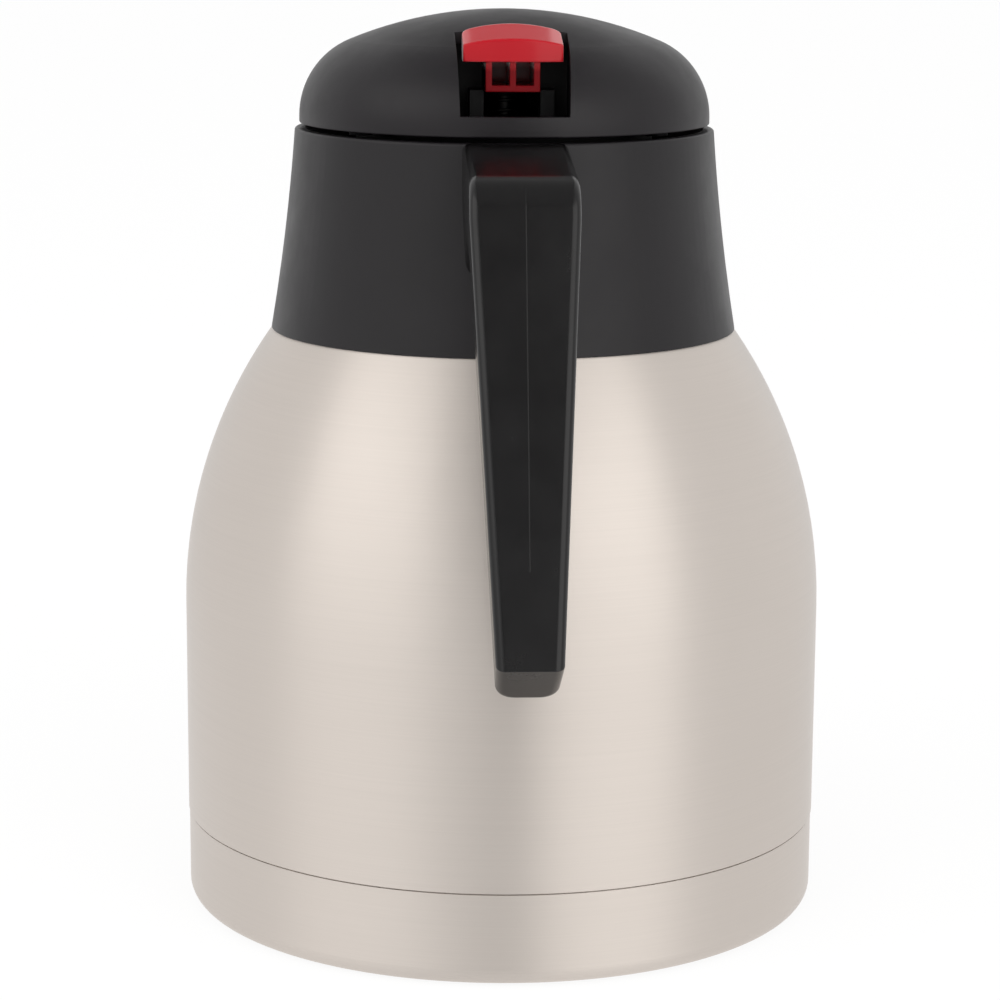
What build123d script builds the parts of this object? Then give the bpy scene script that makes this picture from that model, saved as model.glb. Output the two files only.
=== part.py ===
from build123d import *
import os
from math import atan2, cos, degrees, radians, sin, sqrt, tan

os.makedirs("parts", exist_ok=True)

# Thermal carafe: a steel vacuum body, a plastic collar with a beak and a handle, and a screw-in lid
# with a thumb lever that opens a pouring valve. Millimetres. The Z axis is the body's axis and z = 0
# is the surface it stands on. The handle points to -Y and the beak to +Y.

# ---- gaps ----
fit_gap = 0.1            # between seated pieces that don't move past each other
run_gap = 0.3            # between pieces that move past each other
pin_gap = 0.05           # radial running gap of pins and stems
press_gap = 0.01         # radial gap of pressed pins and stems
cut_margin = 5.0         # how far a cutting solid runs past what it cuts

# ---- steel vacuum body ----
body_radius = 72.0
steel_wall = 0.6
seam_height = 21.2       # where the body meets the base cup
seam_gap = 0.35
shoulder_start = 69.0    # top of the straight side
shoulder_radius = 107.0
mouth_radius = 31.5
neck_gap = 3.8           # vacuum gap at the neck
neck_hollow = 6.0        # concave radius under the neck
neck_length = 5.8        # straight neck up to the rim
vacuum_gap = 5.0         # vacuum gap at the side
flask_hollow = 9.0       # concave radius under the inner neck
flask_corner = 16.0
floor_rise = 7.0         # underside of the vacuum floor
floor_flange = 5.0
flask_rise = 5.0         # inner flask's bottom above the vacuum floor's underside
bead_radius = 0.8
bead_drop = 3.0          # bead's centre below the rim
seal_hole_radius = 1.5
seal_cap_radius = 3.5
seal_cap_height = 1.4
getter_radius = 6.0
getter_height = 2.0
getter_offset = 24.0

# ---- base cup and pad ----
cup_setback = 0.2        # base cup's radius is smaller than the body's
cup_corner = 3.8
pad_proud = 0.4          # pad stands below the steel
pad_recess = 2.4         # roof of the pad's recess
pad_outer_radius = 60.0
pad_edge = 0.3
groove_radii = (43.0, 46.0, 49.0)
groove_width = 1.2
groove_depth = 0.8

# ---- collar ----
collar_rise = 19.0       # collar's top above the flask's rim
collar_height = 44.4
collar_top_radius = 46.6
collar_proud = 0.32      # collar's lower edge stands proud of the steel
collar_flare = 0.55      # hollow of the collar's side between its ends
collar_wall = 2.4
collar_edge_round = 0.6
moat_depth = 8.0         # from the collar's top down to the neck ring's flange
collar_floor_wall = 2.3
gasket_width = 2.6       # collar gasket's section
gasket_height = 3.2

# ---- beak ----
beak_drop = 30.0         # how far the beak reaches down the collar
beak_waist_drop = 12.0   # level where it begins to curve forward
beak_reach = 62.0        # tip of the beak from the axis
beak_waist_reach = 54.0
beak_foot_reach = 48.0
beak_half_width = 21.0
beak_waist_half_width = 17.0
beak_foot_half_width = 11.0
beak_tip_radius = 7.0
beak_root = 30.0         # centre of the beak's wide end
beak_wall = 2.0
channel_foot_reach = 52.5

# ---- neck ring ----
seat_width = 3.2         # ring's bore is wider than the mouth by this
ring_wall = 3.4
ring_skirt_drop = 5.0    # skirt's lower end below the rim
ring_flange_wall = 2.0
ring_flange_inset = 1.2
neck_gasket_height = 0.9

# ---- lid thread ----
thread_lead = 15.0
thread_starts = 3
thread_depth = 1.3
thread_gap = 0.4         # crest to root
thread_root_width = 2.2
thread_crest_width = 1.4
thread_phase = 2.0       # ring's ridges above the stopper's, along the axis
thread_rise = 2.3        # first ridge above the stopper's shoulder
stopper_thread_turn = 100.0
ring_thread_turn = 70.0
thread_sink = 0.3        # ridge's root sunk into its wall

# ---- stopper ----
stopper_wall = 2.2
stopper_gasket_height = 2.2
plug_gap = 0.9           # plug to mouth
plug_drop = 10.0         # plug's underside below the rim
plug_groove_drop = 2.6   # gasket's groove below the rim
plug_groove_depth = 1.0
plug_floor_wall = 2.5
valve_hole_radius = 11.0
spider_hub_radius = 4.6
spider_rib_width = 1.8
spider_ribs = 3
rib_sink = 0.6           # rib's end sunk into the rim of the valve hole
port_height = 6.2
port_rise = 11.2         # port's sill above the rim
port_half_width = 13.0
boss_radius = 3.2
boss_length = 12.0
boss_circle = 28.0
stopper_screw_count = 4
stopper_screw_angle = 45.0   # first screw, from +X
seal_section = 0.8

# ---- lid dome ----
lid_gap = 1.1            # lid's lower edge above the collar's top
lid_step = 1.0           # lid's edge inside the collar's
lid_height = 25.0
crown_radius = 90.0
lid_corner = 18.0
lid_wall = 2.2
lid_edge_round = 0.4
plate_wall = 1.9
plate_rise = 0.2         # plate's underside above the lid's lower edge
ledge_width = 2.0
ledge_height = 1.5
cover_boss_radius = 3.5
cover_boss_circle = 37.0
cover_screw_count = 3
cover_screw_angle = 90.0 # first screw, from +X

# ---- recess and lever bay ----
recess_sill = 4.3        # recess's lower edge above the lid's
recess_half_width = 11.5
recess_draft = 0.035     # growth of the half width for each millimetre of height
recess_front = 24.2      # front edge of the recess from the axis
bay_wall = 1.4
bay_back = 40.0          # rear end of the bay's sides from the axis
cheek_width = 3.0
cheek_reach = 6.8
cheek_height = 7.0

# ---- thumb lever ----
pivot_forward = 24.0
pivot_rise = 9.8         # pin's centre above the lid plate
pin_radius = 1.5
pin_length = 18.0
arm_half_width = 5.75
arm_below_pin = 3.0
arm_height = 6.4
arm_back = 34.0
arm_boss_radius = 3.6
arm_wall = 1.3
arm_pocket_depth = 14.0
ear_width = 3.0
ear_radius = 4.0
pad_half_width = 10.6
pad_back = 36.2
pad_front = 25.2
pad_back_height = 4.8
pad_slope = 14.8         # degrees
pad_crown = 38.0
pad_bulge = 60.0
pad_corner_front = 2.0
pad_corner_back = 0.8
pad_edge_round = 0.5

# ---- valve ----
stem_radius = 2.5
disc_radius = 14.0
disc_height = 3.0
seal_height = 1.0
seal_inner_radius = 11.8
well_radius = 5.6
well_wall = 1.6
well_depth = 7.3
well_floor_wall = 1.5
gland_height = 1.6
washer_height = 0.6
cap_radius = 5.0
cap_height = 2.6
cap_crown = 24.0
cap_gap = 0.15
spring_wire = 0.4        # wire's radius
spring_radius = 4.2
spring_turns = 4
valve_screw_radius = 1.2
valve_screw_length = 9.0
valve_screw_head = 3.0

# ---- screws ----
screw_radius = 1.4
screw_head_radius = 2.6
screw_head_height = 1.6
screw_grip = 8.0         # thread in its boss
slot_width = 0.8
slot_depth = 0.7

# ---- handle ----
handle_corner_reach = 80.6   # rear corner, level with the collar's top, from the axis
handle_lean = 17.8           # degrees from upright
handle_drop = 96.5           # rear face's lower end below the collar's top
handle_thickness = 16.0
handle_end_tilt = 35.0       # degrees, the end facet from level
handle_root_inside = 40.0    # blank's inner end from the axis, before it is trimmed to the collar
handle_arm_height = 17.0
handle_root_height = 33.0
handle_top_half_width = 11.15
handle_end_half_width = 6.75
handle_top_slope = 7.0       # degrees, the top's fall away from the collar
handle_taper_start = 12.0    # below the collar's top
handle_bend = 8.0
handle_inner_bend = 10.0
handle_edge_round = 1.9
handle_inner_round = 4.2
handle_wall = 2.6
liner_depth = 11.0       # parting face of the liner, from the rear face
liner_end = 15.0         # liner's lower end above the rear face's lower end, along the handle
liner_top = 62.0         # liner's upper end, along the handle
handle_screw_radius = 1.5
handle_screw_length = 12.0
handle_screw_drop = 17.0     # below the collar's top
handle_screw_offset = 4.5    # each side of the middle
anchor_wall = 1.2
anchor_margin = 4.0          # steel round the screws

# ---- heights and radii that follow ----
neck_radius = mouth_radius + neck_gap + 2 * steel_wall
cup_radius = body_radius - cup_setback
joggle_radius = cup_radius - steel_wall - pin_gap
ring_bore = mouth_radius + seat_width
ring_outer = neck_radius + ring_wall
stopper_crest = ring_bore - thread_gap
stopper_core = stopper_crest - thread_depth
ring_crest = stopper_core + thread_gap
plug_radius = mouth_radius - plug_gap
lid_radius = collar_top_radius - lid_step


def neck_start(side, arc, neck, hollow):
    """Height at which a neck's straight wall begins above the round shoulder."""
    centre = side - arc
    return shoulder_start + sqrt((arc + hollow) ** 2 - (neck + hollow - centre) ** 2)


rim = neck_start(body_radius, shoulder_radius, neck_radius, neck_hollow) + neck_length
collar_top = rim + collar_rise
collar_edge = collar_top - collar_height
moat_floor = collar_top - moat_depth
ring_flange_low = moat_floor - ring_flange_wall
collar_floor_low = ring_flange_low - fit_gap - collar_floor_wall
stopper_shoulder = rim + fit_gap + stopper_gasket_height + fit_gap
thread_start = stopper_shoulder + thread_rise
lid_base = collar_top + lid_gap
lid_top = lid_base + lid_height
plate_low = lid_base + plate_rise
plate_top = plate_low + plate_wall
pivot_height = plate_top + pivot_rise
arm_low = pivot_height - arm_below_pin
arm_top = arm_low + arm_height
plug_low = rim - plug_drop
well_low = plate_low - well_depth
gland_low = well_low + well_floor_wall
spring_low = gland_low + gland_height + washer_height
cap_top = arm_low - cap_gap
cap_low = cap_top - cap_height
disc_top = plug_low - fit_gap - seal_height / 2
collar_edge_radius = (
    body_radius
    - shoulder_radius
    + sqrt(shoulder_radius**2 - (collar_edge - shoulder_start) ** 2)
    + collar_proud
)

rear_side = Plane(origin=(0, 0, 0), x_dir=(0, -1, 0), z_dir=(-1, 0, 0))


# ---- drawing helpers ----
def turned(*edges):
    """Solid of revolution about the body's axis from an outline drawn as (radius, height)."""
    return revolve(Plane.XZ * make_face(edges), Axis.Z)


def ring(inner, outer, low, high):
    """Plain ring, or a disc where its inner radius is zero."""
    return turned(Polyline((inner, low), (outer, low), (outer, high), (inner, high), close=True))


def block(x_low, x_high, y_low, y_high, z_low, z_high):
    """Box between two corners."""
    size = (x_high - x_low, y_high - y_low, z_high - z_low)
    return Pos(x_low, y_low, z_low) * Box(*size, align=(Align.MIN, Align.MIN, Align.MIN))


def post(radius, x, y, low, high):
    """Upright cylinder."""
    return Pos(x, y, low) * Cylinder(radius, high - low, align=(Align.CENTER, Align.CENTER, Align.MIN))


def cross_bar(radius, y, z, half_length):
    """Cylinder along X."""
    return Pos(0, y, z) * Rot(0, 90, 0) * Cylinder(radius, 2 * half_length)


def around(circle, count, first_angle):
    """Places on a circle about the axis."""
    turns = [radians(first_angle + 360 * step / count) for step in range(count)]
    return [(circle * cos(turn), circle * sin(turn)) for turn in turns]


def upright_screw(x, y, seat, up, grip):
    """Slotted screw whose head lies on a seat; up is 1 for a head on top and -1 for a head below."""
    shank = post(screw_radius, x, y, min(seat, seat - up * grip), max(seat, seat - up * grip))
    top = seat + up * screw_head_height
    head = post(screw_head_radius, x, y, min(seat, top), max(seat, top))
    slot_low = min(top, top - up * slot_depth)
    slot = Pos(x, y, slot_low + slot_depth / 2) * Box(4 * screw_head_radius, slot_width, slot_depth)
    return shank + head - slot


def write(name, shape):
    """Write one node."""
    export_step(shape, f"parts/{name}.step")


# ---- vacuum body ----
def vessel(inset, low, high):
    """Solid bottle form at an inset from the body's outside."""
    side = body_radius - inset
    arc = shoulder_radius - inset
    return bottle(side, arc, neck_radius - inset, neck_hollow + inset, low, high)


def bottle(side, arc, neck, hollow, low, high):
    """Solid with a straight side, a round shoulder and a straight neck."""
    centre = side - arc
    start = neck_start(side, arc, neck, hollow)
    turn = degrees(atan2(start - shoulder_start, neck + hollow - centre))
    return turned(
        Polyline((0, high), (0, low), (side, low), (side, shoulder_start)),
        CenterArc((centre, shoulder_start), arc, 0, turn),
        CenterArc((neck + hollow, start), hollow, 180 + turn, -turn),
        Polyline((neck, start), (neck, high), (0, high)),
    )


def outer_shell():
    """Visible steel body, stepped in below the seam, with a retaining bead on its neck."""
    skin = vessel(0, seam_height, rim - steel_wall)
    hollow = vessel(steel_wall, seam_height + steel_wall, rim)
    skirt_inner = joggle_radius - steel_wall
    skirt = ring(skirt_inner, joggle_radius, floor_rise, seam_height)
    bore = ring(0, skirt_inner, seam_height - cut_margin, seam_height + cut_margin)
    bead_height = rim - bead_drop
    foot = neck_radius - pin_gap
    bead = turned(
        CenterArc((foot, bead_height), bead_radius, -90, 180),
        Line((foot, bead_height + bead_radius), (foot, bead_height - bead_radius)),
    )
    return skin - hollow - bore + skirt + bead


def flask_form(inset, low, high):
    """Solid form of the inner flask at an inset from its outside, with a round bottom corner."""
    depth = steel_wall + vacuum_gap + inset
    neck = mouth_radius + steel_wall - inset
    form = bottle(body_radius - depth, shoulder_radius - depth, neck, flask_hollow + inset, low, high)
    bottom_edge = form.edges().sort_by(Axis.Z)[0]
    return fillet(bottom_edge, flask_corner - inset)


def inner_flask():
    """Drawn inner vessel; its rim flange closes the vacuum at the top."""
    low = floor_rise + flask_rise
    wall = flask_form(0, low, rim) - flask_form(steel_wall, low + steel_wall, rim + cut_margin)
    return wall + ring(mouth_radius, neck_radius, rim - steel_wall, rim)


def shell_floor():
    """Dished outer floor, welded inside the body's lower skirt."""
    radius = joggle_radius - steel_wall - pin_gap
    disc = ring(0, radius, floor_rise, floor_rise + steel_wall)
    flange = ring(radius - steel_wall, radius, floor_rise, floor_rise + floor_flange)
    return disc + flange - post(seal_hole_radius, 0, 0, 0, floor_rise + cut_margin)


def evacuation_seal():
    """Brazed button that closes the pumping hole."""
    low = floor_rise - seal_cap_height
    button = post(seal_cap_radius, 0, 0, low, floor_rise)
    return button + post(seal_hole_radius - pin_gap, 0, 0, low, floor_rise + steel_wall)


def getter():
    """Gas getter on the vacuum floor."""
    low = floor_rise + steel_wall
    return post(getter_radius, getter_offset, 0, low, low + getter_height)


def base_cup():
    """Steel base ring with a recess for the pad."""
    outside = ring(0, cup_radius, pad_proud, seam_height - seam_gap)
    outside = fillet(outside.edges().sort_by(Axis.Z)[0], cup_corner)
    inside = ring(0, cup_radius - steel_wall, pad_proud + steel_wall, seam_height + cut_margin)
    inside = fillet(inside.edges().sort_by(Axis.Z)[0], cup_corner - steel_wall)
    roof = ring(0, pad_outer_radius + steel_wall, pad_proud, pad_recess + steel_wall)
    return outside - inside + roof - ring(0, pad_outer_radius, 0, pad_recess)


def base_pad():
    """Non-slip disc with grip grooves in its underside."""
    pad = ring(0, pad_outer_radius - fit_gap, 0, pad_recess)
    pad = fillet(pad.edges().group_by(Axis.Z)[0], pad_edge)
    for radius in groove_radii:
        pad -= ring(radius, radius + groove_width, 0, groove_depth)
    return pad


# ---- collar ----
def collar_radius(height):
    """Radius of the collar's outside at a height."""
    share = (collar_top - height) / collar_height
    straight = collar_top_radius + (collar_edge_radius - collar_top_radius) * share
    return straight - 4 * collar_flare * share * (1 - share)


def collar_form(inset, low, high):
    """Solid inside the collar's flared side, moved in by an inset."""
    middle = (low + high) / 2
    side = [(collar_radius(height) - inset, height) for height in (low, middle, high)]
    return turned(Polyline(side[2], (0, high), (0, low), side[0]), ThreePointArc(*side))


def beak_section(half_width, reach, tip_radius, height):
    """Beak's level section: a wide round end at the collar and a small round tip."""
    wide = Pos(0, beak_root) * Circle(half_width)
    tip = Pos(0, reach - tip_radius) * Circle(tip_radius)
    return Pos(0, 0, height) * make_hull(wide.edges() + tip.edges())


def beak_outside():
    """Outer form of the beak, which grows out of the collar and curves forward to its lip."""
    foot = beak_section(beak_foot_half_width, beak_foot_reach, beak_tip_radius, collar_top - beak_drop)
    waist_height = collar_top - beak_waist_drop
    waist = beak_section(beak_waist_half_width, beak_waist_reach, beak_tip_radius, waist_height)
    lip = beak_section(beak_half_width, beak_reach, beak_tip_radius, collar_top)
    return loft([foot, waist, lip])


def beak_channel():
    """Open channel inside the beak."""
    tip = beak_tip_radius - beak_wall
    foot = beak_section(beak_waist_half_width - beak_wall, channel_foot_reach, tip, moat_floor)
    lip = beak_section(beak_half_width - beak_wall, beak_reach - beak_wall, tip, collar_top + fit_gap)
    return loft([foot, lip])


def handle_bars(radius, near, far):
    """Two cylinders along -Y on the handle's screw lines, between two distances from the axis."""
    bar = Rot(90, 0, 0) * Cylinder(radius, far - near)
    height = collar_top - handle_screw_drop
    sides = (-handle_screw_offset, handle_screw_offset)
    return [Pos(x, -(near + far) / 2, height) * bar for x in sides]


def collar():
    """Collar with its floor round the neck ring, the beak and the handle's screw holes."""
    side = collar_form(0, collar_edge, collar_top)
    side = fillet(side.edges().sort_by(Axis.Z)[-1], collar_edge_round)
    body = side + beak_outside()
    body -= collar_form(collar_wall, moat_floor - ring_flange_wall - fit_gap, collar_top + cut_margin)
    body -= collar_form(collar_wall, collar_edge - cut_margin, collar_floor_low)
    body -= ring(0, ring_outer + fit_gap, collar_edge - cut_margin, collar_top)
    body -= vessel(-fit_gap, seam_height, rim - cut_margin)
    body -= beak_channel()
    for hole in handle_bars(handle_screw_radius + fit_gap, ring_outer, collar_edge_radius + cut_margin):
        body -= hole
    return body


def collar_gasket():
    """Soft ring between the collar's lower end and the steel shoulder."""
    outer = collar_radius(collar_edge + gasket_height) - collar_wall - fit_gap
    centre = body_radius - shoulder_radius
    seat = shoulder_start + sqrt(shoulder_radius**2 - (outer - centre) ** 2)
    band = ring(outer - gasket_width, outer, collar_edge, seat + gasket_height)
    band &= collar_form(collar_wall + fit_gap, collar_edge, collar_floor_low)
    return band - vessel(-fit_gap, seam_height, rim - cut_margin)


def thread_ridge(root_radius, crest_radius, height, start_angle, turn):
    """One helical ridge with a tapered section, from a root radius out or in to its crest."""
    outward = 1 if crest_radius > root_radius else -1
    foot = root_radius - outward * thread_sink
    path = Helix(thread_lead, thread_lead * turn / 360, root_radius)
    section = Plane.XZ * make_face(
        Polyline(
            (foot, -thread_root_width / 2),
            (root_radius, -thread_root_width / 2),
            (crest_radius, -thread_crest_width / 2),
            (crest_radius, thread_crest_width / 2),
            (root_radius, thread_root_width / 2),
            (foot, thread_root_width / 2),
            close=True,
        )
    )
    return Pos(0, 0, height) * Rot(0, 0, start_angle) * sweep(section, path=path, is_frenet=True)


def thread_ridges(root_radius, crest_radius, height, turn):
    """All starts of a thread, evenly round the axis."""
    starts = [360 * start / thread_starts for start in range(thread_starts)]
    return [thread_ridge(root_radius, crest_radius, height, angle, turn) for angle in starts]


def neck_ring():
    """Threaded ring that snaps over the neck's bead and holds the collar down."""
    skirt_low = rim - ring_skirt_drop
    seat = rim + neck_gasket_height
    flange_radius = collar_radius(moat_floor) - collar_wall - ring_flange_inset
    body = ring(ring_bore, ring_outer, skirt_low, moat_floor)
    body += ring(ring_bore, flange_radius, ring_flange_low, moat_floor)
    body -= ring(0, neck_radius + fit_gap, skirt_low - cut_margin, seat)
    groove = bead_radius + fit_gap
    body -= ring(0, neck_radius + groove, rim - bead_drop - groove, rim - bead_drop + groove)
    for ridge in thread_ridges(ring_bore, ring_crest, thread_start + thread_phase, ring_thread_turn):
        body += ridge
    return body


def neck_gasket():
    """Flat seal between the rim and the neck ring."""
    return ring(ring_bore + fit_gap, neck_radius, rim, rim + neck_gasket_height)


# ---- handle ----
def handle_frame():
    """Plane in the handle's rear face: local x runs up the face and local z goes in towards the body."""
    lean = radians(handle_lean)
    low_reach = handle_corner_reach + handle_drop * tan(lean)
    up = Vector(0, sin(lean), cos(lean))
    inward = Vector(0, cos(lean), -sin(lean))
    return Plane(origin=(0, -low_reach, collar_top - handle_drop), x_dir=up, z_dir=inward)


def handle_form(inset):
    """Handle's form at an inset from its outside: side view crossed with its tapering rear view."""
    lean = radians(handle_lean)
    tilt = radians(handle_end_tilt)
    fall = tan(radians(handle_top_slope))
    top = collar_top - inset + (collar_top_radius - handle_root_inside) * fall
    low = collar_top - handle_drop
    top_reach = handle_corner_reach - inset / cos(lean)
    low_reach = top_reach + handle_drop * tan(lean)
    corner_drop = (inset + (top_reach - collar_top_radius) * fall) / (1 - fall * tan(lean))
    corner = (top_reach + corner_drop * tan(lean), collar_top - corner_drop)
    thickness = handle_thickness - 2 * inset
    facet = thickness / cos(lean - tilt)
    inner_reach = low_reach - facet * cos(tilt)
    inner_low = low - facet * sin(tilt)
    underside = collar_top - handle_arm_height + inset
    bend_reach = inner_reach - (underside - inner_low) * tan(lean)
    outline = make_face(
        Polyline(
            (handle_root_inside, top),
            corner,
            (low_reach, low),
            (inner_reach, inner_low),
            (bend_reach, underside),
            (handle_root_inside, collar_top - handle_root_height),
            close=True,
        )
    )
    outer_bend = outline.vertices().sort_by_distance((*corner, 0))[0]
    outline = fillet(outer_bend, handle_bend - inset)
    inner_bend = outline.vertices().sort_by_distance((bend_reach, underside, 0))[0]
    outline = fillet(inner_bend, handle_inner_bend + inset)
    side = extrude(rear_side * outline, 2 * handle_top_half_width, both=True)
    growth = (handle_top_half_width - handle_end_half_width) / (handle_drop - handle_taper_start)
    tip = low - handle_thickness
    half_tip = handle_end_half_width - growth * handle_thickness - inset
    half_top = handle_top_half_width - inset
    taper_height = collar_top - handle_taper_start
    rear_top = collar_top + cut_margin
    rear = make_face(
        Polyline(
            (-half_tip, tip),
            (half_tip, tip),
            (half_top, taper_height),
            (half_top, rear_top),
            (-half_top, rear_top),
            (-half_top, taper_height),
            close=True,
        )
    )
    return side & extrude(Plane.XZ * rear, low_reach + cut_margin)


def handle_edges(form, outer):
    """Edges along the handle: those of its top, rear face and end, or those of its inner side."""
    face_plane = handle_frame()
    found = []
    for edge in form.edges():
        size = edge.bounding_box().size
        middle = edge.center()
        if size.X > max(size.Y, size.Z) / 2 or middle.Y > -collar_top_radius:
            continue
        depth = min(collar_top - middle.Z, face_plane.to_local_coords(middle).Z)
        at_end = middle.Z < collar_top - handle_drop
        if (at_end or depth < handle_thickness / 3) == outer:
            found.append(edge)
    return found


def handle_blank():
    """Handle's full outside with its rounded long edges."""
    form = handle_form(0)
    form = fillet(handle_edges(form, False), handle_inner_round)
    return fillet(handle_edges(form, True), handle_edge_round)


def liner_zone(gap):
    """Zone of the handle's inner side that the liner fills."""
    size = (liner_top - liner_end + 2 * gap, 4 * handle_top_half_width, handle_thickness)
    zone = Box(*size, align=(Align.MIN, Align.CENTER, Align.MIN))
    return handle_frame() * Pos(liner_end - gap, 0, liner_depth - gap) * zone


def handle_cavity():
    """Hollow of the handle's grip."""
    size = (liner_top - liner_end, 4 * handle_top_half_width, handle_thickness)
    zone = Box(*size, align=(Align.MIN, Align.CENTER, Align.MIN))
    return handle_form(handle_wall) & (handle_frame() * Pos(liner_end, 0, 0) * zone)


def handle_pieces():
    """Handle's outer moulding and the liner that closes its grip."""
    blank = handle_blank() - collar_form(-pin_gap, collar_edge - cut_margin, collar_top + cut_margin)
    cavity = handle_cavity()
    handle = blank - cavity - liner_zone(fit_gap / 2)
    liner = (blank & liner_zone(-fit_gap / 2)) - cavity
    hole_end = handle_screw_tip() + fit_gap
    for hole in handle_bars(handle_screw_radius + pin_gap, handle_root_inside, hole_end):
        handle -= hole
    return handle, liner


def handle_screw_tip():
    """Distance of the screws' tips from the axis."""
    return collar_radius(collar_top - handle_screw_drop) - collar_wall + handle_screw_length


def handle_screw_seat():
    """Distance of the screw heads' seats from the axis, on the saddle's inner side."""
    widest = handle_screw_offset + screw_head_radius
    collar_outside = collar_radius(collar_top - handle_screw_drop + screw_head_radius)
    saddle_inside = collar_outside - collar_wall - fit_gap - anchor_wall
    return sqrt(saddle_inside**2 - widest**2)


def handle_anchor():
    """Curved steel saddle behind the collar's wall."""
    low = collar_top - handle_screw_drop - anchor_margin
    high = collar_top - handle_screw_drop + anchor_margin
    half_width = handle_screw_offset + anchor_margin
    depth = collar_wall + fit_gap
    saddle = collar_form(depth, low, high) - collar_form(depth + anchor_wall, low, high)
    saddle &= block(-half_width, half_width, -collar_edge_radius, -ring_outer, low, high)
    for hole in handle_bars(handle_screw_radius + fit_gap, ring_outer, collar_edge_radius):
        saddle -= hole
    return saddle


def handle_screws():
    """Two screws from inside the collar into the handle's root."""
    seat = handle_screw_seat()
    heads = handle_bars(screw_head_radius, seat - screw_head_height, seat)
    shanks = handle_bars(handle_screw_radius, seat, handle_screw_tip())
    return Compound(children=[head + shank for head, shank in zip(heads, shanks)])


# ---- stopper ----
def stopper_body():
    """Hollow screw-in plug: valve seat with a spider below, thread outside, pouring port in front."""
    groove = plug_radius - plug_groove_depth
    inner_low = groove - stopper_wall
    core_inner = stopper_core - stopper_wall
    top = plate_low - fit_gap
    groove_low = rim - plug_groove_drop
    body = ring(0, plug_radius, plug_low, groove_low)
    body += ring(0, groove, groove_low, stopper_shoulder)
    body += ring(0, stopper_core, stopper_shoulder, top)
    body -= ring(0, inner_low, plug_low + plug_floor_wall, top)
    body -= ring(0, core_inner, stopper_shoulder + stopper_wall, top)
    body -= post(valve_hole_radius, 0, 0, plug_low - cut_margin, plug_low + cut_margin)
    half_rib = spider_rib_width / 2
    rib = block(0, valve_hole_radius + rib_sink, -half_rib, half_rib, plug_low, plug_low + plug_floor_wall)
    for turn in range(spider_ribs):
        body += Rot(0, 0, 90 + 360 * turn / spider_ribs) * rib
    body += post(spider_hub_radius, 0, 0, plug_low, plug_low + plug_floor_wall)
    body -= post(stem_radius + pin_gap, 0, 0, plug_low - cut_margin, plug_low + cut_margin)
    core = ring(0, stopper_core, stopper_shoulder, top)
    for x, y in around(boss_circle, stopper_screw_count, stopper_screw_angle):
        body += post(boss_radius, x, y, top - boss_length, top) & core
        body -= post(screw_radius + pin_gap, x, y, top - screw_grip - fit_gap, top)
    sill = rim + port_rise
    port_end = stopper_core + cut_margin
    body -= block(-port_half_width, port_half_width, 0, port_end, sill, sill + port_height)
    for ridge in thread_ridges(stopper_core, stopper_crest, thread_start, stopper_thread_turn):
        body += ridge
    middle = stopper_core - stopper_wall / 2
    return body - ring(middle - seal_section, middle + seal_section, top - seal_section, top)


def plate_seal():
    """Seal between the stopper and the lid plate."""
    middle = stopper_core - stopper_wall / 2
    half = seal_section - pin_gap
    top = plate_low - fit_gap
    return ring(middle - half, middle + half, top - seal_section, plate_low)


def stopper_gasket():
    """Silicone ring that seals the stopper on the flask's rim."""
    inner = plug_radius - plug_groove_depth + pin_gap
    low = rim - plug_groove_drop + fit_gap
    seat = rim + fit_gap
    lip = ring(inner, mouth_radius - run_gap, low, seat)
    return lip + ring(inner, ring_crest - run_gap, seat, seat + stopper_gasket_height)


# ---- lid ----
def dome_form(inset, low):
    """Solid inside the lid's outside, moved in by an inset."""
    centre_out = lid_radius - lid_corner
    crown_centre = lid_top - crown_radius
    corner_height = crown_centre + sqrt((crown_radius - lid_corner) ** 2 - centre_out**2)
    turn = degrees(atan2(corner_height - crown_centre, centre_out))
    edge = lid_radius - inset
    return turned(
        Polyline((0, lid_top - inset), (0, low), (edge, low), (edge, corner_height)),
        CenterArc((centre_out, corner_height), lid_corner - inset, 0, turn),
        CenterArc((0, crown_centre), crown_radius - inset, turn, 90 - turn),
    )


def recess_cut():
    """Slot through the lid's rear, a little wider at its top."""
    low = lid_base + recess_sill
    high = lid_top + cut_margin
    half_low = recess_half_width
    half_high = half_low + recess_draft * (high - low)
    corners = ((-half_low, low), (half_low, low), (half_high, high), (-half_high, high))
    face = make_face(Polyline(*corners, close=True))
    return Pos(0, -recess_front, 0) * extrude(Plane.XZ * face, lid_radius)


def lid_cover():
    """Dome with its recess, a ledge over the lid plate and three screw bosses."""
    shell = dome_form(0, lid_base)
    shell = fillet(shell.edges().sort_by(Axis.Z)[0], lid_edge_round)
    shell -= dome_form(lid_wall, lid_base - cut_margin)
    ledge_low = plate_top + fit_gap
    inner = lid_radius - lid_wall
    shell += ring(inner - ledge_width, inner + fit_gap, ledge_low, ledge_low + ledge_height)
    shell -= recess_cut()
    for x, y in around(cover_boss_circle, cover_screw_count, cover_screw_angle):
        shell += post(cover_boss_radius, x, y, ledge_low, lid_top) & dome_form(lid_wall / 2, lid_base)
        shell -= post(screw_radius + pin_gap, x, y, ledge_low, ledge_low + screw_grip)
    return shell


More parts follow.
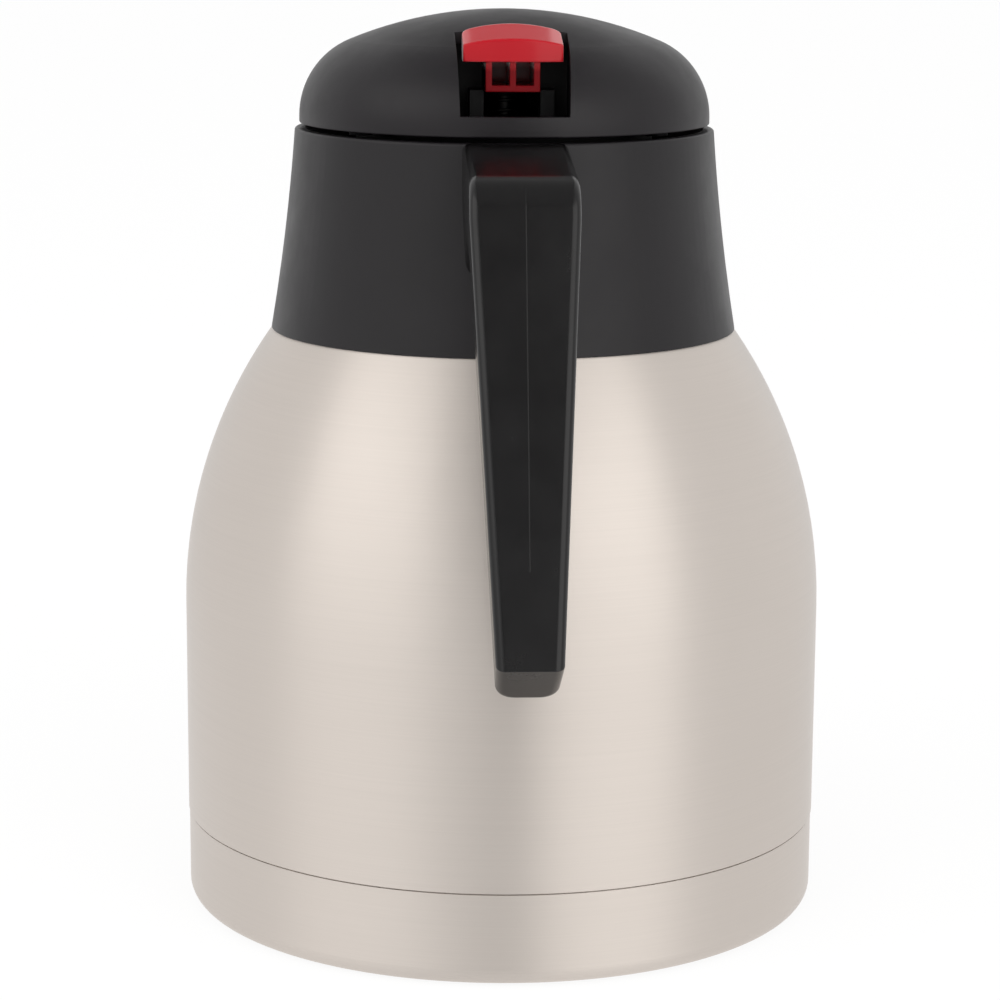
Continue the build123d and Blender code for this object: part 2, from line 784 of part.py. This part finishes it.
def lid_plate():
    """Floor of the lid: carries the lever's ears and the valve's well."""
    radius = lid_radius - lid_wall - fit_gap
    plate = ring(0, radius, plate_low, plate_top)
    plate += post(well_radius + well_wall, 0, 0, well_low, plate_low)
    plate -= post(well_radius, 0, 0, gland_low, plate_top)
    plate -= post(stem_radius + pin_gap, 0, 0, well_low, gland_low)
    ear_near = arm_half_width + run_gap
    ear_back = pivot_forward - ear_radius
    ear_front = pivot_forward + ear_radius
    head = cross_bar(ear_radius, pivot_forward, pivot_height, lid_radius)
    for side in (-1, 1):
        x_low, x_high = sorted((side * ear_near, side * (ear_near + ear_width)))
        plate += block(x_low, x_high, ear_back, ear_front, plate_top, pivot_height)
        plate += head & block(x_low, x_high, ear_back, ear_front, pivot_height, lid_top)
    plate -= cross_bar(pin_radius + press_gap, pivot_forward, pivot_height, lid_radius)
    holes = around(boss_circle, stopper_screw_count, stopper_screw_angle)
    holes += around(cover_boss_circle, cover_screw_count, cover_screw_angle)
    for x, y in holes:
        plate -= post(screw_radius + fit_gap, x, y, plate_low, plate_top)
    return plate


def lid_screws(circle, count, first_angle, seat, up):
    """A circle of screws through the lid plate."""
    grip = plate_wall + screw_grip
    places = around(circle, count, first_angle)
    return Compound(children=[upright_screw(x, y, seat, up, grip) for x, y in places])


def stopper_screws():
    """Screws that hold the lid plate on the stopper."""
    return lid_screws(boss_circle, stopper_screw_count, stopper_screw_angle, plate_top, 1)


def cover_screws():
    """Screws that hold the dome on the lid plate, from below."""
    return lid_screws(cover_boss_circle, cover_screw_count, cover_screw_angle, plate_low, -1)


def lever_bay():
    """Black lining of the recess, with guide cheeks on each side of the lever's arm."""
    half_inner = recess_half_width + recess_draft * (lid_height - recess_sill)
    half_outer = half_inner + bay_wall
    slot_half = arm_half_width + run_gap
    front = -recess_front
    back = -bay_back
    bay = block(-half_outer, half_outer, back, front + bay_wall, plate_top, lid_top)
    bay -= block(-half_inner, half_inner, back - cut_margin, front, plate_top, lid_top)
    for side in (-1, 1):
        x_low, x_high = sorted((side * slot_half, side * (slot_half + cheek_width)))
        bay += block(x_low, x_high, front - cheek_reach, front, plate_top, plate_top + cheek_height)
    bay -= block(-slot_half, slot_half, back, front + cut_margin, plate_top, arm_top + run_gap)
    ledge_top = plate_top + fit_gap + ledge_height
    bay -= ring(lid_radius - lid_wall - ledge_width - fit_gap, lid_radius, plate_top, ledge_top + fit_gap)
    return bay & dome_form(lid_wall + fit_gap, plate_top)


def lever_pin():
    """Pin that the lever turns on."""
    return cross_bar(pin_radius, pivot_forward, pivot_height, pin_length / 2)


# ---- lever ----
def lever_pad():
    """Thumb pad: sloping crowned top, slightly bulging rear face, rounded corners."""
    back_top = arm_top + pad_back_height
    front_top = back_top + (pad_back - pad_front) * tan(radians(pad_slope))
    corners = ((pad_front, arm_top), (pad_back, arm_top), (pad_back, back_top), (pad_front, front_top))
    outline = make_face(Polyline(*corners, close=True))
    pad = extrude(rear_side * outline, pad_half_width, both=True)
    bulge = post(pad_bulge, 0, pad_bulge - pad_back, arm_top - cut_margin, lid_top + cut_margin)
    pad &= bulge
    upright = pad.edges().filter_by(Axis.Z).sort_by(Axis.Y)
    pad = fillet(upright[-2:], pad_corner_front)
    pad = fillet(pad.edges().filter_by(Axis.Z).sort_by(Axis.Y)[:2], pad_corner_back)
    slope = radians(pad_slope)
    run = Plane(origin=(0, -pad_back, back_top), x_dir=(1, 0, 0), z_dir=(0, cos(slope), sin(slope)))
    crown = extrude(run * Pos(0, pad_crown) * Circle(pad_crown), pad_back, both=True)
    pad &= crown
    return fillet(pad.faces().sort_by(Axis.Z)[-1].edges(), pad_edge_round)


def thumb_lever():
    """Red lever: pad on a box arm that runs forward to its pin."""
    arm = block(-arm_half_width, arm_half_width, -arm_back, pivot_forward, arm_low, arm_top)
    arm += cross_bar(arm_boss_radius, pivot_forward, pivot_height, arm_half_width)
    arm -= cross_bar(pin_radius + pin_gap, pivot_forward, pivot_height, lid_radius)
    pocket_half = arm_half_width - arm_wall
    pocket_end = -arm_back + arm_pocket_depth
    floor = arm_low + arm_wall
    pocket = block(-pocket_half, pocket_half, -arm_back, pocket_end, floor, arm_top - fit_gap)
    pocket -= block(-arm_wall / 2, arm_wall / 2, -arm_back, 0, arm_low, arm_top)
    return arm - pocket + lever_pad()


# ---- valve ----
def valve_stem():
    """Steel stem from the valve's disc up to its cap."""
    low = disc_top - disc_height
    stem = post(stem_radius, 0, 0, low, cap_low + cap_height / 2)
    return stem - post(valve_screw_radius + pin_gap, 0, 0, low, low + valve_screw_length + fit_gap)


def valve_plug():
    """Disc that closes the stopper's lower hole from below."""
    low = disc_top - disc_height
    groove_inner = seal_inner_radius - pin_gap
    disc = post(disc_radius, 0, 0, low, disc_top)
    disc -= ring(groove_inner, disc_radius - seal_height, disc_top - seal_height / 2, disc_top)
    return disc - post(stem_radius + press_gap, 0, 0, low, disc_top)


def valve_seal():
    """Silicone ring in the disc's upper face."""
    low = disc_top - seal_height / 2
    return ring(seal_inner_radius, disc_radius - seal_height - pin_gap, low, low + seal_height)


def valve_screw():
    """Screw and head that hold the disc on the stem."""
    low = disc_top - disc_height
    head = post(valve_screw_head, 0, 0, low - screw_head_height, low)
    return head + post(valve_screw_radius, 0, 0, low, low + valve_screw_length)


def valve_cap():
    """Cap that the lever presses and the spring pushes up."""
    cap = post(cap_radius, 0, 0, cap_low, cap_top)
    cap -= post(stem_radius + press_gap, 0, 0, cap_low, cap_low + cap_height / 2 + fit_gap)
    return cap & (Pos(0, 0, cap_top - cap_crown) * Sphere(cap_crown))


def stem_gland():
    """Seal round the stem in the bottom of the well."""
    return ring(stem_radius + pin_gap, well_radius - pin_gap, gland_low, gland_low + gland_height)


def spring_washer():
    """Steel washer between the gland and the spring."""
    low = gland_low + gland_height
    return ring(stem_radius + run_gap, well_radius - fit_gap, low, low + washer_height)


def valve_spring():
    """Compression spring between the washer and the cap."""
    low = spring_low + spring_wire
    rise = cap_low - spring_wire - low
    path = Helix(rise / spring_turns, rise, spring_radius)
    section = Plane.XZ * Pos(spring_radius, 0) * Circle(spring_wire)
    return Pos(0, 0, low) * sweep(section, path=path, is_frenet=True)


handle, handle_liner = handle_pieces()
write("outer_shell", outer_shell())
write("inner_flask", inner_flask())
write("shell_floor", shell_floor())
write("evacuation_seal", evacuation_seal())
write("getter", getter())
write("base_cup", base_cup())
write("base_pad", base_pad())
write("collar", collar())
write("collar_gasket", collar_gasket())
write("neck_ring", neck_ring())
write("neck_gasket", neck_gasket())
write("handle", handle)
write("handle_liner", handle_liner)
write("handle_anchor", handle_anchor())
write("handle_screws", handle_screws())
write("stopper_gasket", stopper_gasket())
write("stopper_body", stopper_body())
write("plate_seal", plate_seal())
write("lid_plate", lid_plate())
write("lid_cover", lid_cover())
write("stopper_screws", stopper_screws())
write("cover_screws", cover_screws())
write("lever_bay", lever_bay())
write("lever_pin", lever_pin())
write("thumb_lever", thumb_lever())
write("valve_stem", valve_stem())
write("valve_plug", valve_plug())
write("valve_seal", valve_seal())
write("valve_screw", valve_screw())
write("valve_cap", valve_cap())
write("stem_gland", stem_gland())
write("spring_washer", spring_washer())
write("valve_spring", valve_spring())
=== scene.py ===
"""Looks of the thermal carafe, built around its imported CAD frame."""
import math

import bpy
from mathutils import Matrix, Vector


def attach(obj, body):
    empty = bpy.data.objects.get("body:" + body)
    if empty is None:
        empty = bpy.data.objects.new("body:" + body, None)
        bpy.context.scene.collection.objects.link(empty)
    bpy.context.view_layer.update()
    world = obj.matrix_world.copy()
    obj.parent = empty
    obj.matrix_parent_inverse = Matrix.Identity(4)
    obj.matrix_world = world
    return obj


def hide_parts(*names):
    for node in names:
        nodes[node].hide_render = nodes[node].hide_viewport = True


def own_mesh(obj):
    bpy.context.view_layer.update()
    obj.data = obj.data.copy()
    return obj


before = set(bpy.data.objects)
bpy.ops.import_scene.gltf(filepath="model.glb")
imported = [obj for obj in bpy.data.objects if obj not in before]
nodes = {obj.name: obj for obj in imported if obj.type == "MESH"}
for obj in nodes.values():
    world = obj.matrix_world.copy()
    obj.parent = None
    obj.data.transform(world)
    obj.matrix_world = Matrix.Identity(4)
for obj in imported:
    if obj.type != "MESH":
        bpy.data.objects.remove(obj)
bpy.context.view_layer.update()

MM = 0.001

# ---- camera, in metres and degrees ----
FOCAL = 3.098            # focal length over the image's width
EYE_DISTANCE = 0.6934    # from the body's axis
EYE_HEIGHT = 0.2292
EYE_AZIMUTH = 3.0        # from -Y towards -X
EYE_PITCH = 11.25        # below the horizon
EYE_ROLL = 0.35
AXIS_OFFSET = 0.002      # body's axis right of the image's centre, over its width
CLIP_NEAR, CLIP_FAR = 0.05, 60

# ---- studio, in metres, degrees and watts ----
WHITE = (1.0, 1.0, 1.0, 1)
WHITE_STRENGTH = 1.0     # emission that renders as plain white
FLOOR_RADIUS = 14.0
FLOOR_SIDES = 60
FLOOR_COLOUR = (0.9, 0.9, 0.9, 1)
FLOOR_GLOW = 0.88        # share of plain white that camera, glossy and transmission rays see
LAMP_COLOUR = (1.0, 0.985, 0.965)
LAMP_TARGET = (0, 0, 0.1)

# name, angle right of the camera's direction, distance, height, width and length, power
SOFT_BOXES = (
    ("box_left", -54, 1.05, 0.7, (1.15, 0.75), 3.35),
    ("box_right", 39, 1.1, 0.45, (1.05, 0.8), 3.4),
)

# Flags of felt, seen only in reflections: name, grey, x of the left and the right end, and
# (y, z) of the near and the far edge, all before they turn to the camera's direction.
# Negative y is on the camera's side.
FLAGS = (
    ("flag_low", 0.05, 0.0, 0.25, (-1.78, 0.18), (-1.7, 0.45)),
    ("flag_front", 0.4, -0.28, 0.08, (-1.7, 0.45), (-1.4, 1.2)),
    ("flag_face", 0.2, 0.08, 0.40, (-1.62, 0.65), (-1.4, 1.2)),
    ("flag_top", 0.5, -0.5, 0.5, (-1.4, 1.2), (0.95, 1.2)),
    ("flag_back", 0.25, -0.3, 0.3, (0.95, 1.2), (2.3, 1.2)),
)


# ---- finishes ----
EDGE = 0.25 * MM             # rounding of a moulded part's edges
STEEL_EDGE = 0.15 * MM
RUBBER_EDGE = 0.2 * MM
EDGE_SAMPLES = 4
QUARTER_TURN = 0.25          # turns the steel's sheen across its brushing
SPECKS = 5000.0              # waves for each metre on tumbled steel
PAINTED_SHADE_COLOUR = 0.4            # share of the colour left where shade is painted on, low on the lever's arms
PAINTED_SHADE_SHINE = 0.5             # share of the specular level left there, also painted shade
SHEEN_ROUGHNESS = 0.25
STEEL = (0.668, 0.612, 0.565)
MATT = {"roughness": 0.43, "grain": 0.012 * MM, "wave": 0.28 * MM}


# ---- node graphs ----
class Graph:
    """A material's node tree, with short calls for its nodes and links."""

    def __init__(self, name):
        self.material = bpy.data.materials.new(name)
        self.material.use_nodes = True
        self.tree = self.material.node_tree
        self.tree.nodes.clear()

    def node(self, kind, inputs=None, **settings):
        """Adds a node; inputs maps sockets, by name or place, to values or other sockets."""
        made = self.tree.nodes.new(kind)
        for name, value in settings.items():
            setattr(made, name, value)
        for key, value in (inputs or {}).items():
            socket = made.inputs[key]
            if isinstance(value, bpy.types.NodeSocket):
                self.tree.links.new(value, socket)
            else:
                socket.default_value = value
        return made

    def place(self, scale=(1, 1, 1)):
        """Object coordinates in metres, stretched by a scale on each axis."""
        where = self.node("ShaderNodeTexCoord").outputs["Object"]
        return self.node("ShaderNodeMapping", {"Vector": where, "Scale": scale}).outputs["Vector"]

    def noise(self, scale, detail=3.0, roughness=0.5, stretch=(1, 1, 1)):
        """Noise in the object's own space; scale is in waves for each metre."""
        inputs = {
            "Vector": self.place(stretch), "Scale": scale, "Detail": detail, "Roughness": roughness,
        }
        return self.node("ShaderNodeTexNoise", inputs).outputs["Fac"]

    def spread(self, value, low, high, start=0.3, end=0.7):
        """Maps a value from start..end to low..high; the defaults suit a noise."""
        inputs = {
            "Value": value, "From Min": start, "From Max": end, "To Min": low, "To Max": high,
        }
        return self.node("ShaderNodeMapRange", inputs).outputs["Result"]

    def tint(self, value, dark, light, start=0.35, end=0.65):
        """Colour between two linear colours, led by a texture's value."""
        ramp = self.node("ShaderNodeValToRGB", {"Fac": value})
        for stop, place, colour in zip(ramp.color_ramp.elements, (start, end), (dark, light)):
            stop.position = place
            stop.color = (*colour, 1)
        return ramp.outputs["Color"]

    def multiply(self, first, second):
        """Product of two colours; a plain value counts as a grey."""
        inputs = {"Factor": 1.0, "A": first, "B": second}
        made = self.node("ShaderNodeMix", inputs, data_type="RGBA", blend_type="MULTIPLY")
        return made.outputs["Result"]

    def maths(self, operation, first, second):
        """Result of a maths node on two values."""
        return self.node("ShaderNodeMath", {0: first, 1: second}, operation=operation).outputs[0]

    def mix_shaders(self, share, first, second):
        """Two shaders mixed, with this share of the second."""
        return self.node("ShaderNodeMixShader", {0: share, 1: first, 2: second}).outputs[0]

    def bump(self, value, height, normal=None):
        """Surface relief from a texture's value; height is in metres."""
        inputs = {"Height": value, "Distance": height, "Strength": 1.0}
        if normal is not None:
            inputs["Normal"] = normal
        return self.node("ShaderNodeBump", inputs).outputs["Normal"]

    def soft_edges(self, radius):
        """Normal that rounds sharp edges by a small radius."""
        rounded = self.node("ShaderNodeBevel", {"Radius": radius}, samples=EDGE_SAMPLES)
        return rounded.outputs["Normal"]

    def close(self, surface):
        """Ends the graph with a shader and gives the material back."""
        self.node("ShaderNodeOutputMaterial", {"Surface": surface})
        return self.material

    def principled(self, inputs):
        """Ends the graph with one Principled surface and gives the material back."""
        return self.close(self.node("ShaderNodeBsdfPrincipled", inputs).outputs["BSDF"])


def shade(colour, factor):
    """A colour made darker or lighter."""
    return tuple(channel * factor for channel in colour)


def lathe_steel(name, colour, roughness, grain, anisotropy=0.5):
    """Steel brushed round the body's axis: fine level lines, faint smudges, soft sheen."""
    graph = Graph(name)
    lines = graph.noise(scale=1.0, detail=4.0, roughness=0.6, stretch=(18, 18, 3200))
    hairs = graph.noise(scale=1.0, detail=2.0, roughness=0.5, stretch=(70, 70, 9000))
    smudge = graph.noise(scale=14.0, detail=4.0, roughness=0.55)
    tone = graph.tint(smudge, dark=shade(colour, 0.98), light=shade(colour, 1.015))
    streak = graph.tint(lines, dark=(0.97, 0.97, 0.97), light=(1.0, 1.0, 1.0), start=0.3, end=0.7)
    hair_relief = graph.bump(hairs, height=0.4 * grain)
    tangent = graph.node("ShaderNodeTangent", direction_type="RADIAL", axis="Z")
    return graph.principled({
        "Base Color": graph.multiply(tone, streak),
        "Metallic": 1.0,
        "Roughness": graph.spread(smudge, low=roughness - 0.03, high=roughness + 0.04),
        "Anisotropic": anisotropy,
        "Anisotropic Rotation": QUARTER_TURN,
        "Tangent": tangent.outputs["Tangent"],
        "Normal": graph.bump(lines, height=grain, normal=hair_relief),
    })


def plain_steel(name, colour, roughness):
    """Small bright steel parts: fine tumbled texture and rounded edges."""
    graph = Graph(name)
    specks = graph.noise(scale=SPECKS, detail=4.0)
    smudge = graph.noise(scale=SPECKS / 12)
    return graph.principled({
        "Base Color": graph.tint(smudge, dark=shade(colour, 0.9), light=colour),
        "Metallic": 1.0,
        "Roughness": graph.spread(specks, low=roughness - 0.06, high=roughness + 0.08),
        "Normal": graph.bump(specks, height=0.006 * MM, normal=graph.soft_edges(STEEL_EDGE)),
    })


def moulded(name, colour, roughness, grain, wave, specular, edge=EDGE, rub=1.25,
            painted_shade_band=None, haze=0.0):
    """Moulded plastic: spark-eroded micro-texture, uneven dullness, softened edges.

    wave and grain are the texture's width and height, and rub is how much lighter its worn
    patches are. haze is a pale sheen at grazing angles. painted_shade_band gives a lower and
    an upper height, between which colour and shine fade down to their painted-shade shares
    and haze to nothing; this is shade painted into the surface.
    """
    graph = Graph(name)
    pits = graph.noise(scale=1 / wave, detail=2.0, roughness=0.6)
    patches = graph.noise(scale=22.0)
    handled = graph.noise(scale=60.0, detail=5.0, roughness=0.65)
    tone = graph.tint(patches, dark=colour, light=shade(colour, rub))
    # Painted shade: low on the part the colour, specular level and sheen are cut, standing in for
    # the shade under the lever's pad.
    if painted_shade_band:
        axes = graph.node("ShaderNodeSeparateXYZ", {"Vector": graph.place()})
        height = axes.outputs["Z"]
        tone = graph.multiply(tone, graph.spread(height, PAINTED_SHADE_COLOUR, 1.0, *painted_shade_band))
        haze = graph.spread(height, 0.0, haze, *painted_shade_band)
        specular = graph.spread(height, PAINTED_SHADE_SHINE * specular, specular, *painted_shade_band)
    return graph.principled({
        "Base Color": tone,
        "Roughness": graph.spread(handled, low=roughness - 0.05, high=roughness + 0.05),
        "Specular IOR Level": specular,
        "Sheen Weight": haze,
        "Sheen Roughness": SHEEN_ROUGHNESS,
        "Normal": graph.bump(pits, height=grain, normal=graph.soft_edges(edge)),
    })


def rubbery(name, colour, roughness, subsurface=0.0):
    """Silicone or rubber with a fine dull skin."""
    graph = Graph(name)
    skin = graph.noise(scale=2600.0, detail=2.0)
    patches = graph.noise(scale=90.0)
    return graph.principled({
        "Base Color": graph.tint(patches, dark=shade(colour, 0.92), light=colour),
        "Roughness": graph.spread(skin, low=roughness - 0.06, high=roughness + 0.06),
        "Subsurface Weight": subsurface,
        "Subsurface Radius": (1.2 * MM, 1.0 * MM, 0.8 * MM),
        "Normal": graph.bump(skin, height=0.02 * MM, normal=graph.soft_edges(RUBBER_EDGE)),
    })


# ---- materials ----
materials = {
    "body_steel": lathe_steel("body_steel", STEEL, 0.5, grain=0.0006 * MM, anisotropy=0.85),
    "flask_steel": lathe_steel("flask_steel", shade(STEEL, 1.05), 0.22, grain=0.001 * MM),
    "hardware": plain_steel("hardware_steel", (0.60, 0.59, 0.58), 0.28),
    "spring_steel": plain_steel("spring_steel", (0.09, 0.088, 0.085), 0.4),
    "black_steel": plain_steel("black_steel", (0.02, 0.02, 0.021), 0.5),
    "collar_black": moulded("collar_black", (0.0056, 0.0045, 0.0056), specular=0.29, **MATT),
    "lid_black": moulded("lid_black", (0.0060, 0.0046, 0.0060), specular=0.27, **MATT),
    "handle_black": moulded(
        "handle_black", (0.0038, 0.0035, 0.0037), roughness=0.23,
        grain=0.0012 * MM, wave=0.35 * MM, specular=0.3, rub=1.12,
    ),
    # Black plastic of the inner parts, set darker and less shiny than the collar's: partly its own
    # black, partly painted shade inside the lid's recess.
    "inner_black_painted_shade": moulded(
        "inner_black_painted_shade", (0.0022, 0.0022, 0.0024), roughness=0.55,
        grain=0.006 * MM, wave=0.4 * MM, specular=0.18,
    ),
    # The lever's arms below its pad get painted shade: darker red, less shine, no haze.
    "lever_red": moulded(
        "lever_red", (0.41, 0.006, 0.013), roughness=0.14,
        grain=0.0004 * MM, wave=0.6 * MM, specular=0.22, edge=0.5 * MM, rub=1.06,
        painted_shade_band=(190.3 * MM, 191.8 * MM), haze=0.5,
    ),
    "silicone": rubbery("silicone_clear", (0.62, 0.61, 0.58), 0.42, subsurface=0.35),
    "pad_rubber": rubbery("pad_rubber", (0.018, 0.018, 0.018), 0.75),
}
finishes = {
    "body_steel": ("outer_shell", "base_cup", "shell_floor", "evacuation_seal", "getter"),
    "flask_steel": ("inner_flask",),
    "hardware": ("handle_anchor", "handle_screws", "stopper_screws", "lever_pin", "valve_screw"),
    "spring_steel": ("valve_spring", "spring_washer", "valve_stem"),
    "black_steel": ("cover_screws",),
    "collar_black": ("collar",),
    "lid_black": ("lid_cover",),
    "handle_black": ("handle", "handle_liner"),
    "inner_black_painted_shade": (
        "neck_ring", "stopper_body", "lid_plate", "lever_bay", "valve_plug", "valve_cap",
    ),
    "lever_red": ("thumb_lever",),
    "silicone": (
        "collar_gasket", "neck_gasket", "stopper_gasket", "plate_seal", "valve_seal",
        "stem_gland",
    ),
    "pad_rubber": ("base_pad",),
}
for finish, members in finishes.items():
    for member in members:
        mesh = nodes[member].data
        mesh.materials.clear()
        mesh.materials.append(materials[finish])


def own_object(name, data):
    """Links a new object to the scene."""
    made = bpy.data.objects.new(name, data)
    bpy.context.scene.collection.objects.link(made)
    return made


# ---- valve spring, as its own object on the lid ----
spring_node = nodes["valve_spring"]
coil = own_object("valve_spring_coil", spring_node.data.copy())
coil.matrix_world = spring_node.matrix_world.copy()
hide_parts("valve_spring")
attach(coil, "lid")
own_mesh(coil)


# ---- parting line along the handle's middle ----
LINE_HALF_WIDTH = 0.17 * MM
LINE_RISE = 0.06 * MM
LINE_SINK = 0.03 * MM
LINE_TOP = (-0.049, 0.19)       # y and z over the handle's inner end
LINE_END = (-0.125, 0.098)      # outside the rear face, at the line's lower end
LINE_CORE = (-0.068, 0.163)     # inside the bend
BEND_REACH = 0.04               # from the core to where the bend's rays start
TOP_RAYS, BEND_RAYS, REAR_RAYS = 12, 25, 29


def surface_point(node, start, direction):
    """Point and normal where a ray from outside meets a CAD node."""
    turned = node.matrix_world.inverted()
    origin = turned @ Vector(start)
    heading = (turned.to_3x3() @ Vector(direction)).normalized()
    found, place, normal, _ = node.ray_cast(origin, heading)
    if not found:
        raise RuntimeError(f"no surface of {node.name} at {start}")
    return node.matrix_world @ place, (node.matrix_world.to_3x3() @ normal).normalized()


def parting_rays():
    """Rays onto the handle's middle: from above, round the bend and from behind."""
    core = Vector((0, *LINE_CORE))
    for step in range(TOP_RAYS):
        reach = LINE_TOP[0] + (LINE_CORE[0] - LINE_TOP[0]) * step / TOP_RAYS
        yield Vector((0, reach, LINE_TOP[1])), Vector((0, 0, -1))
    for step in range(BEND_RAYS):
        turn = math.radians(90 - 90 * step / (BEND_RAYS - 1))
        outward = Vector((0, -math.cos(turn), math.sin(turn)))
        yield core + BEND_REACH * outward, -outward
    for step in range(1, REAR_RAYS + 1):
        height = LINE_CORE[1] + (LINE_END[1] - LINE_CORE[1]) * step / REAR_RAYS
        yield Vector((0, LINE_END[0], height)), Vector((0, 1, 0))


side = Vector((LINE_HALF_WIDTH, 0, 0))
line_points, line_faces = [], []
for start, direction in parting_rays():
    place, normal = surface_point(nodes["handle"], start, direction)
    row = len(line_points)
    line_points += [
        place - side - normal * LINE_SINK,
        place + normal * LINE_RISE,
        place + side - normal * LINE_SINK,
    ]
    if row:
        line_faces += [(at - 3, at - 2, at + 1, at) for at in (row, row + 1)]
line_mesh = bpy.data.meshes.new("handle_parting_line")
line_mesh.from_pydata(line_points, [], line_faces)
line_mesh.materials.append(materials["handle_black"])
line_mesh.shade_smooth()
line = own_object("handle_parting_line", line_mesh)
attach(line, "flask")


# ---- floor ----
def white_where_seen(graph, surface, share):
    """Mixes a share of plain white into a surface for camera, glossy and transmission rays."""
    rays = graph.node("ShaderNodeLightPath").outputs
    seen = graph.maths("MAXIMUM", rays["Is Camera Ray"], rays["Is Glossy Ray"])
    seen = graph.maths("MAXIMUM", seen, rays["Is Transmission Ray"])
    glow = graph.node("ShaderNodeEmission", {"Color": WHITE, "Strength": WHITE_STRENGTH})
    return graph.mix_shaders(graph.maths("MULTIPLY", seen, share), surface, glow.outputs[0])


def floor_material():
    """Pale matt floor that looks white, keeps the object's shadow and is clear from below."""
    graph = Graph("floor_white")
    matt = graph.node("ShaderNodeBsdfDiffuse", {"Color": FLOOR_COLOUR, "Roughness": 1.0})
    seen = white_where_seen(graph, matt.outputs[0], FLOOR_GLOW)
    below = graph.node("ShaderNodeNewGeometry").outputs["Backfacing"]
    clear = graph.node("ShaderNodeBsdfTransparent").outputs[0]
    return graph.close(graph.mix_shaders(below, seen, clear))


def stage_polygon(name, corners, material):
    """One flat polygon of the stage."""
    mesh = bpy.data.meshes.new(name)
    mesh.from_pydata(corners, [], [tuple(range(len(corners)))])
    mesh.materials.append(material)
    made = own_object(name, mesh)
    return made


rim_turns = [math.radians(360 / FLOOR_SIDES * step) for step in range(FLOOR_SIDES)]
stage_polygon(
    "floor",
    [(FLOOR_RADIUS * math.cos(turn), FLOOR_RADIUS * math.sin(turn), 0) for turn in rim_turns],
    floor_material(),
)


# ---- world, flags and lamps ----
def felt_material(name, grey):
    """Plain matt felt of a flag."""
    graph = Graph(name)
    felt = graph.node("ShaderNodeBsdfDiffuse", {"Color": (grey, grey, grey, 1)})
    return graph.close(felt.outputs[0])


def soft_box(name, angle, distance, height, size, power):
    """Rectangular studio light, placed round the object from the camera's direction."""
    lamp = bpy.data.lights.new(name, "AREA")
    lamp.shape = "RECTANGLE"
    lamp.size, lamp.size_y = size
    lamp.energy = power
    lamp.color = LAMP_COLOUR
    turn = math.radians(EYE_AZIMUTH - angle)
    box = own_object(name, lamp)
    box.location = Vector((-distance * math.sin(turn), -distance * math.cos(turn), height))
    box.rotation_mode = "QUATERNION"
    box.rotation_quaternion = (Vector(LAMP_TARGET) - box.location).to_track_quat("-Z", "Y")


world = bpy.data.worlds.new("studio")
world.use_nodes = True
sky = world.node_tree
sky.nodes.clear()
background = sky.nodes.new("ShaderNodeBackground")
background.inputs["Color"].default_value = WHITE
background.inputs["Strength"].default_value = WHITE_STRENGTH
world_output = sky.nodes.new("ShaderNodeOutputWorld")
sky.links.new(background.outputs[0], world_output.inputs["Surface"])
bpy.context.scene.world = world

for name, grey, left, right, low, high in FLAGS:
    corners = [(left, *low), (right, *low), (right, *high), (left, *high)]
    flag = stage_polygon(name, corners, felt_material(name, grey))
    flag.rotation_euler = (0, 0, math.radians(-EYE_AZIMUTH))
    flag.visible_camera = False
    flag.visible_diffuse = False

for box_values in SOFT_BOXES:
    soft_box(*box_values)

# ---- camera ----
camera = own_object("camera", bpy.data.cameras.new("camera"))
camera.data.lens = FOCAL * camera.data.sensor_width
camera.data.clip_start = CLIP_NEAR
camera.data.clip_end = CLIP_FAR
azimuth, pitch, roll = (math.radians(turn) for turn in (EYE_AZIMUTH, EYE_PITCH, EYE_ROLL))
yaw = azimuth - math.atan(AXIS_OFFSET / FOCAL)
level = math.cos(pitch)
forward = Vector((math.sin(yaw) * level, math.cos(yaw) * level, -math.sin(pitch)))
flat_right = Vector((math.cos(yaw), -math.sin(yaw), 0))
flat_up = flat_right.cross(forward)
right = math.cos(roll) * flat_right + math.sin(roll) * flat_up
up = math.cos(roll) * flat_up - math.sin(roll) * flat_right
eye = Vector((
    -EYE_DISTANCE * math.sin(azimuth), -EYE_DISTANCE * math.cos(azimuth), EYE_HEIGHT,
))
turned = Matrix((right, up, -forward)).transposed().to_4x4()
camera.matrix_world = Matrix.Translation(eye) @ turned
bpy.context.scene.camera = camera
bpy.context.scene.view_settings.view_transform = "Standard"
